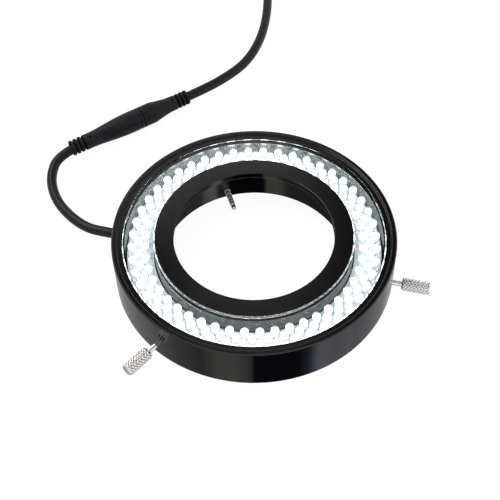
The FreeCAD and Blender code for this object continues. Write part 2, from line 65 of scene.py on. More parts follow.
bpy.context.scene.view_settings.view_transform = "Standard"


# ---------------------------------------------------------------- studio
# A white room.  Glossy black faces mirror its darker parts: what stands low round
# the bench, paler on some sides than on others, and a window high at the back.
def add(tree, kind, inputs=None, **settings):
    """Adds a node, sets its inputs, and links those that are given a socket."""
    made = tree.nodes.new(kind)
    for key, value in settings.items():
        setattr(made, key, value)
    for key, value in (inputs or {}).items():
        if isinstance(value, bpy.types.NodeSocket):
            tree.links.new(value, made.inputs[key])
        else:
            made.inputs[key].default_value = value
    return made


def shades(tree, factor, stops, kind="LINEAR"):
    """A colour ramp with its stops given as (place, colour)."""
    ramp = add(tree, "ShaderNodeValToRGB", {0: factor})
    ramp.color_ramp.interpolation = kind
    while len(ramp.color_ramp.elements) < len(stops):
        ramp.color_ramp.elements.new(0.5)
    for element, (place, colour) in zip(ramp.color_ramp.elements, stops):
        element.position = place
        element.color = (*colour, 1.0)
    return ramp.outputs["Color"]


def grey(level):
    return (level, level, level)


world = bpy.data.worlds.new("studio")
bpy.context.scene.world = world
world.use_nodes = True
room = world.node_tree
room.nodes.clear()
direction = add(room, "ShaderNodeTexCoord").outputs["Generated"]
split = add(room, "ShaderNodeSeparateXYZ", {0: direction})
angle = add(room, "ShaderNodeMath", {0: split.outputs["Y"], 1: split.outputs["X"]},
            operation="ARCTAN2")
compass = add(room, "ShaderNodeMath", {0: angle.outputs[0], 1: 1 / math.tau},
              operation="MULTIPLY")
compass = add(room, "ShaderNodeMath", {0: compass.outputs[0], 1: 1.0}, operation="WRAP")
compass.inputs[2].default_value = 0.0
low_outside = shades(room, compass.outputs[0], [
    (0.00, (0.40, 0.41, 0.43)), (0.12, (0.42, 0.42, 0.45)), (0.162, (0.55, 0.55, 0.58)),
    (0.195, (0.34, 0.34, 0.36)), (0.30, (0.45, 0.45, 0.46)), (0.47, (0.44, 0.44, 0.45)),
    (0.55, (0.27, 0.27, 0.25)), (0.62, (0.19, 0.20, 0.17)), (0.655, (0.46, 0.42, 0.37)),
    (0.70, (0.50, 0.46, 0.42)), (0.735, (0.30, 0.28, 0.30)), (0.745, (0.012, 0.016, 0.03)),
    (0.855, (0.012, 0.016, 0.03)), (0.88, (0.12, 0.14, 0.22)), (0.905, (0.66, 0.68, 0.74)),
    (0.95, (0.46, 0.48, 0.54))])
low_inside = shades(room, compass.outputs[0], [
    (0.03, grey(0.13)), (0.16, grey(0.07)), (0.36, grey(0.03)), (0.44, grey(0.05)),
    (0.56, grey(0.16)), (0.63, (0.19, 0.19, 0.18)), (0.665, (0.68, 0.62, 0.50)),
    (0.70, (0.66, 0.58, 0.52)), (0.715, (0.01, 0.01, 0.016)), (0.82, (0.02, 0.02, 0.03)),
    (0.865, grey(0.2)), (0.882, (1.05, 0.95, 0.98)), (0.91, (0.9, 0.8, 0.84)),
    (0.935, grey(0.24)), (0.96, grey(0.2))])
depth = add(room, "ShaderNodeMapRange", {"Value": split.outputs["Z"], "From Min": -0.795,
            "From Max": -0.775})
below = add(room, "ShaderNodeMix", {0: depth.outputs[0], 6: low_outside, 7: low_inside},
            data_type="RGBA").outputs[2]
rise = add(room, "ShaderNodeMapRange", {"Value": split.outputs["Z"], "From Min": 0.70,
           "From Max": 0.86})
high_left = shades(room, rise.outputs[0], [
    (0.00, grey(0.9)), (0.36, grey(0.8)), (0.45, grey(0.4)), (0.56, grey(0.06)),
    (1.0, grey(0.04))])
high_middle = shades(room, rise.outputs[0], [
    (0.00, grey(1.1)), (0.14, grey(1.0)), (0.27, grey(0.6)), (0.41, grey(0.5)),
    (0.75, (0.44, 0.40, 0.40)), (0.95, grey(0.3))])
high_right = shades(room, compass.outputs[0], [(0.219, grey(0.015)), (0.231, grey(0.13))])
rightwards = add(room, "ShaderNodeMapRange", {"Value": compass.outputs[0], "From Min": 0.230,
                 "From Max": 0.243})
leftwards = add(room, "ShaderNodeMapRange", {"Value": compass.outputs[0], "From Min": 0.262,
                "From Max": 0.269})
above = add(room, "ShaderNodeMix", {0: rightwards.outputs[0], 6: high_right, 7: high_middle},
            data_type="RGBA").outputs[2]
above = add(room, "ShaderNodeMix", {0: leftwards.outputs[0], 6: above, 7: high_left},
            data_type="RGBA").outputs[2]


def band(tree, value, low, high, soft):
    """One inside low to high, nothing outside it, with soft ends."""
    up = add(tree, "ShaderNodeMapRange", {"Value": value, "From Min": low - soft,
             "From Max": low})
    down = add(tree, "ShaderNodeMapRange", {"Value": value, "From Min": high,
               "From Max": high + soft, "To Min": 1.0, "To Max": 0.0})
    return add(tree, "ShaderNodeMath", {0: up.outputs[0], 1: down.outputs[0]},
               operation="MULTIPLY").outputs[0]


standing = shades(room, compass.outputs[0], [
    (0.14, (1.0, 1.0, 1.02)), (0.20, (0.86, 0.84, 0.80)), (0.58, (0.62, 0.60, 0.57)),
    (0.66, (1.0, 0.98, 0.95)), (0.97, (1.0, 1.0, 1.02))])
low_white = add(room, "ShaderNodeMapRange", {"Value": split.outputs["Z"], "From Min": -0.35,
                "From Max": -0.15})
standing = add(room, "ShaderNodeMix", {0: low_white.outputs[0], 6: (1.0, 1.0, 1.02, 1),
               7: standing}, data_type="RGBA").outputs[2]
low_band = band(room, split.outputs["Z"], -0.89, -0.70, 0.08)
mirrored = add(room, "ShaderNodeMix", {0: low_band, 6: standing, 7: below},
               data_type="RGBA").outputs[2]
overhead = add(room, "ShaderNodeMapRange", {"Value": split.outputs["Z"], "From Min": 0.55,
               "From Max": 0.66})
at_back = band(room, compass.outputs[0], 0.17, 0.34, 0.03)
ceiling = add(room, "ShaderNodeMix", {0: at_back, 6: (0.5, 0.5, 0.52, 1), 7: above},
              data_type="RGBA").outputs[2]
mirrored = add(room, "ShaderNodeMix", {0: overhead.outputs[0], 6: mirrored, 7: ceiling},
               data_type="RGBA").outputs[2]
ray = add(room, "ShaderNodeLightPath")
seen = add(room, "ShaderNodeMix", {0: ray.outputs["Is Glossy Ray"], 6: (1.05, 1.05, 1.06, 1),
           7: mirrored}, data_type="RGBA").outputs[2]
background = add(room, "ShaderNodeBackground", {"Color": seen, "Strength": 1.0})
add(room, "ShaderNodeOutputWorld", {"Surface": background.outputs[0]})

lamp_data = bpy.data.lights.new("key panel", "AREA")
lamp_data.shape = "RECTANGLE"
lamp_data.size, lamp_data.size_y = 0.7, 0.5
lamp_data.energy = 4.0
key_panel = bpy.data.objects.new("key panel", lamp_data)
bpy.context.scene.collection.objects.link(key_panel)
key_panel.location = (-0.45, 0.25, 0.75)
to_ring = Vector((0, 0, 0)) - key_panel.location
key_panel.rotation_euler = to_ring.to_track_quat("-Z", "Y").to_euler()

bench_reach = 3.0
bench_top = -0.05 * mm
bench_mesh = bpy.data.meshes.new("bench")
bench_mesh.from_pydata([(x * bench_reach, y * bench_reach, bench_top)
                        for x, y in ((-1, -1), (1, -1), (1, 1), (-1, 1))], [], [(0, 1, 2, 3)])
bench = bpy.data.objects.new("bench", bench_mesh)
bpy.context.scene.collection.objects.link(bench)
bench_white = bpy.data.materials.new("bench white")
bench_white.use_nodes = True
cover = bench_white.node_tree
cover.nodes.clear()
matt = add(cover, "ShaderNodeBsdfDiffuse", {"Color": (0.12, 0.12, 0.12, 1)})
glow = add(cover, "ShaderNodeEmission", {"Color": (1, 1, 1, 1), "Strength": 0.93})
both = add(cover, "ShaderNodeAddShader", {0: matt.outputs[0], 1: glow.outputs[0]})
add(cover, "ShaderNodeOutputMaterial", {"Surface": both.outputs[0]})
bench.data.materials.append(bench_white)
bench.visible_glossy = False


# ---------------------------------------------------------------- the ring's lead
# A round PVC cord, 4.1 mm thick.  It leaves the wall low down at the left, drops
# to the bench, swings round in one loose curve and runs into the in-line socket.
def surface(name, base, roughness, metallic=0.0, **sockets):
    """A new material with its Principled shader, which the maker adds detail to."""
    made = bpy.data.materials.new(name)
    made.use_nodes = True
    shader = made.node_tree.nodes["Principled BSDF"]
    shader.inputs["Base Color"].default_value = (*base, 1)
    shader.inputs["Roughness"].default_value = roughness
    shader.inputs["Metallic"].default_value = metallic
    for key, value in sockets.items():
        shader.inputs[key.replace("_", " ")].default_value = value
    return made


def grained(material, dark, light, scale, low, high, bump, fine=2400.0):
    """Clouds the colour and the roughness, and adds a fine moulded or ground grain."""
    tree = material.node_tree
    shader = tree.nodes["Principled BSDF"]
    place = add(tree, "ShaderNodeTexCoord").outputs["Object"]
    cloud = add(tree, "ShaderNodeTexNoise", {"Vector": place, "Scale": scale, "Detail": 4.0})
    tint = shades(tree, cloud.outputs["Fac"], [(0.3, dark), (0.7, light)])
    tree.links.new(tint, shader.inputs["Base Color"])
    rough = add(tree, "ShaderNodeMapRange", {"Value": cloud.outputs["Fac"], "From Min": 0.3,
                "From Max": 0.7, "To Min": low, "To Max": high})
    tree.links.new(rough.outputs[0], shader.inputs["Roughness"])
    grain = add(tree, "ShaderNodeTexNoise", {"Vector": place, "Scale": fine, "Detail": 2.0})
    relief = add(tree, "ShaderNodeBump", {"Height": grain.outputs["Fac"], "Strength": bump,
                 "Distance": 0.00005})
    tree.links.new(relief.outputs[0], shader.inputs["Normal"])
    return material


def cord_line(name, points, radius, material):
    """A cord as one open NURBS spline through its route, with a round section."""
    line = bpy.data.curves.new(name, "CURVE")
    line.dimensions = "3D"
    line.bevel_depth = radius
    line.bevel_resolution = 7
    line.resolution_u = 8
    line.use_fill_caps = True
    spline = line.splines.new("NURBS")
    spline.points.add(len(points) - 1)
    for point, place in zip(spline.points, points):
        point.co = (*place, 1)
    spline.order_u = 3
    spline.use_endpoint_u = True
    line.materials.append(material)
    cord = bpy.data.objects.new(name, line)
    bpy.context.scene.collection.objects.link(cord)
    return cord


cord_black = grained(surface("cord black", (0.005, 0.006, 0.008), 0.38, Specular_IOR_Level=0.22),
                     (0.003, 0.004, 0.006), (0.007, 0.009, 0.012), 90.0, 0.30, 0.42, 0.12)
cord_radius = 2.05 * mm
exit_turn = math.radians(166.5)
exit_way = Vector((math.cos(exit_turn), math.sin(exit_turn), 0))
exit_height = Vector((0, 0, 4.1)) * mm
joint = Vector((-76.1, 59.4, 4.65)) * mm
heading = math.radians(31.55)
along = Vector((math.cos(heading), math.sin(heading), 0))
lead_route = [
    exit_way * 44.1 * mm + exit_height,
    exit_way * 60.5 * mm + exit_height,
    Vector((-67.0, 17.5, 3.1)) * mm,
    Vector((-75.1, 25.3, 2.3)) * mm,
    Vector((-81.2, 34.4, 2.1)) * mm,
    Vector((-84.1, 45.6, 2.5)) * mm,
    joint - along * 6.0 * mm,
    joint + along * 8.0 * mm]
ring_cord = cord_line("ring_cord", lead_route, cord_radius, cord_black)
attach(ring_cord, "housing")
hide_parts("ring_lead")

# ---------------------------------------------------------------- the supply lead
# The same cord from the plug on.  It runs back along the bench, and its spare
# length is wound in a flat coil of two layers, tied, with its plug beside it.
supply_start = joint + along * 56.5 * mm
supply_route = [
    supply_start - along * 8.0 * mm,
    supply_start + along * 7.0 * mm,
    Vector((-12.0, 101.6, 3.0)) * mm,
    Vector((-1.5, 113.0, 2.1)) * mm,
    Vector((5.8, 129.5, 2.1)) * mm,
    Vector((9.3, 150.0, 2.1)) * mm,
    Vector((9.4, 169.5, 2.1)) * mm,
    Vector((9.0, 187.0, 2.1)) * mm]
coil_centre = Vector((-22.8, 197.0, 0)) * mm
steps_per_turn = 16
turns_in = 3.5
turns_out = 3.75
climb = 1 / 3
lower_layer = 2.1
layer_step = 4.1
coil_outside = 31.8
coil_inside = 17.45
coil_end = 32.85
for step in range(int((turns_in + turns_out) * steps_per_turn) + 1):
    turn = step / steps_per_turn
    if turn <= turns_in:
        reach = coil_outside + (coil_inside - coil_outside) * turn / turns_in
        lift = lower_layer
    else:
        out = turn - turns_in
        reach = coil_inside + (coil_end - coil_inside) * max(0, out - climb) / (turns_out - climb)
        rise = min(1, out / climb)
        lift = lower_layer + layer_step * rise * rise * (3 - 2 * rise)
    swing = Vector((math.cos(turn * math.tau), math.sin(turn * math.tau), 0))
    supply_route.append(coil_centre + swing * reach * mm + Vector((0, 0, lift)) * mm)
supply_route += [
    Vector((-31.0, 229.9, 6.15)) * mm,
    Vector((-37.0, 229.75, 5.2)) * mm,
    Vector((-42.5, 229.6, 4.65)) * mm,
    Vector((-54.8, 229.6, 4.65)) * mm]
supply_cord = cord_line("supply_cord", supply_route, cord_radius, cord_black)
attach(supply_cord, "supply")
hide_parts("supply_lead", "supply_coil", "supply_tail")


# ---------------------------------------------------------------- housing wall
# A turned aluminium ring in gloss black lacquer.  Its rim stands over a ledge for
# the window, and its foot has a rebate for the cover.  Drilled for three screws
# and for the cord.
def eased(corners, radius=0.15, steps=3, closed=True):
    """An outline of (radius, height) corners in mm, each rounded off."""
    made = []
    count = len(corners)
    for i, corner in enumerate(corners):
        here = Vector(corner[:2])
        if not closed and i in (0, count - 1):
            made.append(here)
            continue
        back = Vector(corners[i - 1][:2]) - here
        ahead = Vector(corners[(i + 1) % count][:2]) - here
        bend = math.pi - back.angle(ahead)
        if bend < 0.14:
            made.append(here)
            continue
        wanted = corner[2] if len(corner) > 2 else radius
        reach = min(wanted * math.tan(bend / 2), 0.42 * back.length, 0.42 * ahead.length)
        start = here + back.normalized() * reach
        stop = here + ahead.normalized() * reach
        for k in range(steps + 1):
            s = k / steps
            made.append(start * (1 - s) ** 2 + here * 2 * s * (1 - s) + stop * s ** 2)
    return made


def new_tree(name, sockets):
    """An empty Geometry Nodes tree with a geometry input and the named inputs."""
    tree = bpy.data.node_groups.new(name, "GeometryNodeTree")
    tree.interface.new_socket("Geometry", in_out="INPUT", socket_type="NodeSocketGeometry")
    for label, kind in sockets:
        tree.interface.new_socket(label, in_out="INPUT", socket_type="NodeSocket" + kind)
    tree.interface.new_socket("Geometry", in_out="OUTPUT", socket_type="NodeSocketGeometry")
    return tree, tree.nodes.new("NodeGroupInput").outputs


def end_tree(tree, geometry, given):
    """Realises whatever the tree made, gives it its finish and hands it out."""
    real = add(tree, "GeometryNodeRealizeInstances", {0: geometry})
    done = add(tree, "GeometryNodeSetMaterial", {"Geometry": real.outputs[0],
               "Material": given["Finish"]})
    tree.links.new(done.outputs[0], tree.nodes.new("NodeGroupOutput").inputs[0])


def settle(piece):
    """Turns what the modifiers make into the piece's own plain mesh."""
    graph = bpy.context.evaluated_depsgraph_get()
    made = bpy.data.meshes.new_from_object(piece.evaluated_get(graph))
    piece.modifiers.clear()
    piece.data = made
    return piece


def shaped(name, mesh, tree, **values):
    """Runs a tree on a mesh with its named inputs set, and keeps the result."""
    piece = bpy.data.objects.new(name, mesh)
    bpy.context.scene.collection.objects.link(piece)
    step = piece.modifiers.new("shape", "NODES")
    step.node_group = tree
    for socket in tree.interface.items_tree:
        if socket.in_out == "INPUT" and socket.name in values:
            step[socket.identifier] = values[socket.name]
    return settle(piece)


def even_shading(piece, crease=35.0):
    """Keeps flat faces flat to the eye beside their rounded edges."""
    piece.data.set_sharp_from_angle(angle=math.radians(crease))
    step = piece.modifiers.new("shading", "WEIGHTED_NORMAL")
    step.keep_sharp = True
    return settle(piece)


def turned_outwards(piece):
    """Turns the shell's faces so that they all point out of it."""
    shell = bmesh.new()
    shell.from_mesh(piece.data)
    bmesh.ops.remove_doubles(shell, verts=shell.verts, dist=1e-7)
    bmesh.ops.recalc_face_normals(shell, faces=shell.faces)
    if shell.calc_volume(signed=True) < 0:
        bmesh.ops.reverse_faces(shell, faces=shell.faces)
    shell.to_mesh(piece.data)
    shell.free()
    return piece


lathe_tree, given = new_tree("turned on a lathe", [
    ("Steps", "Int"), ("Path Radius", "Float"), ("Finish", "Material")])
outline = add(lathe_tree, "GeometryNodeMeshToCurve", {0: given["Geometry"]})
circle = add(lathe_tree, "GeometryNodeCurvePrimitiveCircle", {"Resolution": given["Steps"],
             "Radius": given["Path Radius"]})
path = add(lathe_tree, "GeometryNodeSetCurveNormal", {0: circle.outputs[0]}, mode="Z_UP")
swept = add(lathe_tree, "GeometryNodeCurveToMesh", {"Curve": path.outputs[0],
            "Profile Curve": outline.outputs[0]})
joined = add(lathe_tree, "GeometryNodeMergeByDistance", {"Geometry": swept.outputs[0],
             "Distance": 1e-6})
smooth = add(lathe_tree, "GeometryNodeSetShadeSmooth", {"Geometry": joined.outputs[0]})
end_tree(lathe_tree, smooth.outputs[0], given)


def turned(name, outline_points, steps, material, closed=True):
    """A turned piece: the outline, in mm, swept once round the Z axis."""
    path_radius = 10.0 * mm
    section = bpy.data.meshes.new(name)
    places = [(r * mm - path_radius, -z * mm, 0) for r, z in outline_points]
    count = len(places)
    edges = [(i, (i + 1) % count) for i in range(count if closed else count - 1)]
    section.from_pydata(places, edges, [])
    piece = shaped(name, section, lathe_tree, Steps=steps, Finish=material,
                   **{"Path Radius": path_radius})
    return turned_outwards(piece)


def drilled(piece, holes, material):
    """Cuts round holes, each given as (start, direction, radius, depth) in metres."""
    cutter = bmesh.new()
    for start, way, radius, depth in holes:
        facing = way.to_track_quat("Z", "Y").to_matrix().to_4x4()
        place = Matrix.Translation(start + way * depth / 2) @ facing
        bmesh.ops.create_cone(cutter, cap_ends=True, segments=40, radius1=radius,
                              radius2=radius, depth=depth, matrix=place)
    tool_mesh = bpy.data.meshes.new("drill")
    cutter.to_mesh(tool_mesh)
    cutter.free()
    tool_mesh.materials.append(material)
    tool = bpy.data.objects.new("drill", tool_mesh)
    bpy.context.scene.collection.objects.link(tool)
    step = piece.modifiers.new("drill", "BOOLEAN")
    step.object = tool
    step.operation = "DIFFERENCE"
    step.solver = "EXACT"
    settle(piece)
    bpy.data.objects.remove(tool)
    return piece


def fitted(piece, body, slot, *nodes):
    """The piece goes with its body and stands for the nodes, which are hidden. The slot is not
    used.
    """
    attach(piece, body)
    if nodes:
        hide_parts(*nodes)
    return piece


def lacquer(name, base, roughness, bump):
    """Gloss black stoving lacquer with a faint orange peel and polishing haze."""
    made = surface(name, base, roughness, Specular_IOR_Level=0.5)
    tree = made.node_tree
    shader = tree.nodes["Principled BSDF"]
    place = add(tree, "ShaderNodeTexCoord").outputs["Object"]
    haze = add(tree, "ShaderNodeTexNoise", {"Vector": place, "Scale": 55.0, "Detail": 5.0})
    rough = add(tree, "ShaderNodeMapRange", {"Value": haze.outputs["Fac"], "From Min": 0.3,
                "From Max": 0.7, "To Min": roughness * 0.8, "To Max": roughness * 1.25})
    tree.links.new(rough.outputs[0], shader.inputs["Roughness"])
    peel = add(tree, "ShaderNodeTexNoise", {"Vector": place, "Scale": 700.0, "Detail": 1.0})
    relief = add(tree, "ShaderNodeBump", {"Height": peel.outputs["Fac"], "Strength": bump,
                 "Distance": 0.00002})
    tree.links.new(relief.outputs[0], shader.inputs["Normal"])
    tint = shades(tree, haze.outputs["Fac"], [
        (0.3, tuple(c * 0.85 for c in base)), (0.7, tuple(c * 1.2 for c in base))])
    tree.links.new(tint, shader.inputs["Base Color"])
    return made


gloss_black = lacquer("gloss black lacquer", (0.001, 0.0012, 0.0016), 0.07, 0.02)
satin_black = lacquer("satin black rim", (0.0026, 0.0021, 0.0023), 0.1, 0.05)
# Painted lamplight: inside the lamp channel the same black lacquer is made paler and bluer, to
# stand in for the light the lamps throw on it.
lamplit_channel_grey = lacquer("lamp channel painted lamplight", (0.020, 0.026, 0.029), 0.05, 0.01)
lamplit_channel_grey.node_tree.nodes["Principled BSDF"].inputs["IOR"].default_value = 3.6


def sort_faces(piece, finishes, choose):
    """Gives each face the finish that choose names from its middle and its normal."""
    piece.data.materials.clear()
    for material in finishes:
        piece.data.materials.append(material)
    for face in piece.data.polygons:
        face.material_index = choose(face.center / mm, face.normal)
    return piece


wall_outer = 54.0
wall_inner = 50.0
wall_lower = 49.2
rim_top = 19.0
ledge_top = 18.2
window_seat = 15.3
guide_radius = 2.1
shank_hole = 1.35
cord_hole = 2.7
housing = turned("housing_wall", eased([
    (wall_outer, 0.0, 0.2), (wall_outer, rim_top - 0.4, 0.12), (wall_outer - 0.4, rim_top, 0.12),
    (52.0, rim_top, 0.4), (52.0, ledge_top, 0.4), (wall_inner, ledge_top, 0.1),
    (wall_inner, window_seat), (wall_lower, window_seat), (wall_lower, 1.0),
    (wall_lower + 0.6, 1.0), (wall_lower + 0.6, 0.0)], 0.12), 240, gloss_black)
screw_turns = [math.radians(-13.5 + 120 * k) for k in range(3)]
screw_ways = [Vector((math.cos(a), math.sin(a), 0)) for a in screw_turns]
screw_line = Vector((0, 0, 3.2)) * mm
drilled(housing, [(w * 48 * mm + screw_line, w, guide_radius * mm, 3 * mm) for w in screw_ways],
        gloss_black)
wall_holes = [(w * 50 * mm + screw_line, w, shank_hole * mm, 6 * mm) for w in screw_ways]
wall_holes.append((exit_way * 48 * mm + exit_height, exit_way, cord_hole * mm, 8 * mm))
drilled(housing, wall_holes, gloss_black)
# Faces inside the lamp channel take the paler lacquer of painted lamplight; upward faces take the
# satin rim finish.
sort_faces(housing, [gloss_black, satin_black, lamplit_channel_grey], lambda middle, normal: (
    2 if math.hypot(middle.x, middle.y) < 50.05 and middle.z < 18.1
    else 1 if normal.z > 0.5 else 0))
even_shading(housing)
fitted(housing, "housing", "housing_black", "housing_shell")

# ---------------------------------------------------------------- collar
# The inner tube, lacquered with the wall.  Its flat lip narrows the light opening,
# and three holes low in the tube take the guides of the clamping screws.
collar_bore = 36.6
collar_side = 38.2
collar_top = 37.7
lip_bore = 30.5
lip_under = 16.3
collar = turned("collar", eased([
    (collar_bore, 0.0, 0.2), (collar_side - 0.6, 0.0), (collar_side - 0.6, 1.0),
    (collar_side, 1.0), (collar_side, window_seat), (collar_top, window_seat),
    (collar_top, rim_top, 0.2), (lip_bore, rim_top, 0.25), (lip_bore, lip_under, 0.2),
    (collar_bore, lip_under, 0.3)], 0.12), 200, gloss_black)
for start, radius, depth in ((36.75, guide_radius, 3), (35.0, 1.32, 2.5)):
    drilled(collar, [(w * start * mm + screw_line, w, radius * mm, depth * mm)
                     for w in screw_ways], gloss_black)
# Painted lamplight: the collar's outside, within the lamp channel, is the same black lacquer made
# paler and bluer, to stand in for the lamps' light on it.
lamplit_collar_slate = lacquer("collar outside painted lamplight", (0.006, 0.009, 0.011), 0.05, 0.01)
lamplit_collar_slate.node_tree.nodes["Principled BSDF"].inputs["IOR"].default_value = 2.2
# Faces of the collar's outside within the channel take the painted-lamplight lacquer.
sort_faces(collar, [gloss_black, satin_black, lamplit_collar_slate], lambda middle, normal: (
    2 if math.hypot(middle.x, middle.y) > 37.65 and middle.z < 18.1
    else 1 if normal.z > 0.5 else 0))
even_shading(collar)
fitted(collar, "housing", "housing_black", "inner_collar")

# ---------------------------------------------------------------- window
# A flat ring of float glass, a hair below the rim, with ground and polished
# edges.  It lies on two thin black rubber gaskets.
float_glass = surface("float glass", (0.90, 0.975, 0.965), 0.015, Transmission_Weight=1.0, IOR=1.5)
tree = float_glass.node_tree
place = add(tree, "ShaderNodeTexCoord").outputs["Object"]
smear = add(tree, "ShaderNodeTexNoise", {"Vector": place, "Scale": 60.0, "Detail": 4.0})
wiped = add(tree, "ShaderNodeMapRange", {"Value": smear.outputs["Fac"], "From Min": 0.45,
            "From Max": 0.8, "To Min": 0.0, "To Max": 0.03})
tree.links.new(wiped.outputs[0], tree.nodes["Principled BSDF"].inputs["Roughness"])
glass_low, glass_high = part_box("cover_glass")
glass_out = glass_high.x / mm
glass_in = 37.75
window = turned("window_ring", eased([
    (glass_in, glass_low.z / mm, 0.35), (glass_out, glass_low.z / mm, 0.35),
    (glass_out, glass_high.z / mm, 0.35), (glass_in, glass_high.z / mm, 0.35)],
    0.35, 1), 240, float_glass)
even_shading(window, 20)
fitted(window, "housing", "window_glass", "cover_glass")


def refinish(node, material):
    """Gives a plain part, which is right in its shape, its own finish."""
    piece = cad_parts[node]
    for place in range(len(piece.data.materials)):
        piece.data.materials[place] = material


rubber = grained(surface("black rubber", (0.02, 0.02, 0.02), 0.7), (0.014, 0.014, 0.015),
                 (0.028, 0.028, 0.029), 300.0, 0.62, 0.8, 0.3, 3000.0)
for node in ("gasket_outer", "gasket_inner"):
    refinish(node, rubber)

# ---------------------------------------------------------------- board
# A ring of glass-fibre board with white solder resist.  Small dark chips hang
# from its underside, and six brass posts carry it above the cover.
resist = surface("white resist painted glow", (0.80, 0.82, 0.85), 0.3)
tree = resist.node_tree
place = add(tree, "ShaderNodeTexCoord").outputs["Object"]
weave = add(tree, "ShaderNodeTexNoise", {"Vector": place, "Scale": 420.0, "Detail": 3.0})
tint = shades(tree, weave.outputs["Fac"], [
    (0.30, (0.25, 0.27, 0.30)), (0.38, (0.70, 0.72, 0.76)), (0.6, (0.84, 0.86, 0.88))])
tree.links.new(tint, tree.nodes["Principled BSDF"].inputs["Base Color"])
shader = tree.nodes["Principled BSDF"]
# Painted lamplight: the board glows faintly of itself, though it is no lamp, to stand in for the
# light of its lamps falling on it.
shader.inputs["Emission Color"].default_value = (0.9, 0.95, 1.0, 1)
shader.inputs["Emission Strength"].default_value = 0.25
refinish("led_board", resist)
chip_black = grained(surface("chip black", (0.03, 0.03, 0.03), 0.5), (0.022, 0.022, 0.024),
                     (0.04, 0.04, 0.042), 800.0, 0.4, 0.6, 0.2, 5000.0)
for node in ("board_resistors", "board_regulator"):
    refinish(node, chip_black)
brass = grained(surface("turned brass", (0.78, 0.56, 0.25), 0.25, 1.0), (0.70, 0.49, 0.21),
                (0.82, 0.61, 0.30), 200.0, 0.18, 0.35, 0.15)
refinish("board_spacers", brass)

# ---------------------------------------------------------------- lamps
# 144 round 3 mm lamps of clear resin, alight, in three circles of 48.  The middle
# circle is turned by half a step, so that each of its lamps sits in a gap.
clear_resin = surface("clear resin", (0.97, 0.985, 1.0), 0.03, Transmission_Weight=1.0, IOR=1.5)
tree = clear_resin.node_tree
place = add(tree, "ShaderNodeTexCoord").outputs["Object"]
flow = add(tree, "ShaderNodeTexNoise", {"Vector": place, "Scale": 260.0, "Detail": 2.0})
tint = shades(tree, flow.outputs["Fac"], [(0.3, (0.93, 0.955, 0.98)), (0.7, (0.98, 0.99, 1.0))])
tree.links.new(tint, tree.nodes["Principled BSDF"].inputs["Base Color"])
lit_core = surface("lit core", (0.8, 0.82, 0.85), 0.5)
tree = lit_core.node_tree
shader = tree.nodes["Principled BSDF"]
place = add(tree, "ShaderNodeTexCoord").outputs["Object"]
height = add(tree, "ShaderNodeSeparateXYZ", {0: place}).outputs["Z"]
level_up = add(tree, "ShaderNodeMapRange", {"Value": height, "From Min": 10.4 * mm,
               "From Max": 13.4 * mm})
colour = shades(tree, level_up.outputs[0], [
    (0.0, (0.70, 0.76, 0.84)), (0.45, (0.90, 0.95, 1.0)), (1.0, (0.97, 0.99, 1.0))])
tree.links.new(colour, shader.inputs["Emission Color"])
power = add(tree, "ShaderNodeMapRange", {"Value": height, "From Min": 12.3 * mm,
            "From Max": 13.0 * mm, "To Min": 0.68, "To Max": 3.4})
tree.links.new(power.outputs[0], shader.inputs["Emission Strength"])

ring_tree, given = new_tree("lamps in a circle", [
    ("Count", "Int"), ("Circle", "Float"), ("First Angle", "Float"), ("Height", "Float"),
    ("Finish", "Material")])
spots = add(ring_tree, "GeometryNodeMeshCircle", {"Vertices": given["Count"],
            "Radius": given["Circle"]})
lifted = add(ring_tree, "ShaderNodeCombineXYZ", {"Z": given["Height"]})
swung = add(ring_tree, "ShaderNodeCombineXYZ", {"Z": given["First Angle"]})
placed = add(ring_tree, "GeometryNodeTransform", {"Geometry": spots.outputs[0],
             "Translation": lifted.outputs[0], "Rotation": swung.outputs[0]})
number = add(ring_tree, "GeometryNodeInputIndex")
stepped = add(ring_tree, "ShaderNodeMath", {0: math.tau, 1: given["Count"]}, operation="DIVIDE")
share = add(ring_tree, "ShaderNodeMath", {0: number.outputs[0], 1: stepped.outputs[0]},
            operation="MULTIPLY")
share = add(ring_tree, "ShaderNodeMath", {0: share.outputs[0], 1: given["First Angle"]},
            operation="ADD")
facing = add(ring_tree, "ShaderNodeCombineXYZ", {"Z": share.outputs[0]})
copies = add(ring_tree, "GeometryNodeInstanceOnPoints", {"Points": placed.outputs[0],
             "Instance": given["Geometry"], "Rotation": facing.outputs[0]})
end_tree(ring_tree, copies.outputs[0], given)

dome = 5.3
lamp_radius = 1.5
lamp_outline = [(0, 0.8), (1.6, 0.8), (1.6, 1.8), (lamp_radius, 1.85), (lamp_radius, dome)]
lamp_outline += [(lamp_radius * math.cos(a), dome + lamp_radius * math.sin(a))
                 for a in (0.4, 0.8, 1.2)] + [(0, dome + lamp_radius)]
one_lamp = turned("one_lamp", lamp_outline, 14, clear_resin, closed=False)
one_core = turned("one_core", [(0, 1.9), (1.05, 1.9), (1.05, 3.5), (0.85, 4.4), (0.8, 5.0),
                  (0.4, 5.4), (0, 5.45)], 12, lit_core, closed=False)
legs = bmesh.new()
legs.from_mesh(one_core.data)
for side in (-1, 1):
    place = (Matrix.Translation(Vector((0, side * 1.27, 0.4)) * mm)
             @ Matrix.Diagonal((0.45 * mm, 0.45 * mm, 0.78 * mm, 1)))
    bmesh.ops.create_cube(legs, size=1.0, matrix=place)
legs.to_mesh(one_core.data)
legs.free()


def join_into(name, parts):
    """Joins meshes, each with its place, into one piece with all their finishes."""
    whole = bmesh.new()
    finishes = []
    for part, place in parts:
        mesh = part.data.copy()
        mesh.transform(place)
        shift = len(finishes)
        for material in part.data.materials:
            finishes.append(material)
        before = len(whole.faces)
        whole.from_mesh(mesh)
        whole.faces.ensure_lookup_table()
        for face in whole.faces[before:]:
            face.material_index += shift
    made = bpy.data.meshes.new(name)
    whole.to_mesh(made)
    whole.free()
    for material in finishes:
        made.materials.append(material)
    piece = bpy.data.objects.new(name, made)
    bpy.context.scene.collection.objects.link(piece)
    for part in {part for part, place in parts}:
        bpy.data.objects.remove(part)
    return piece


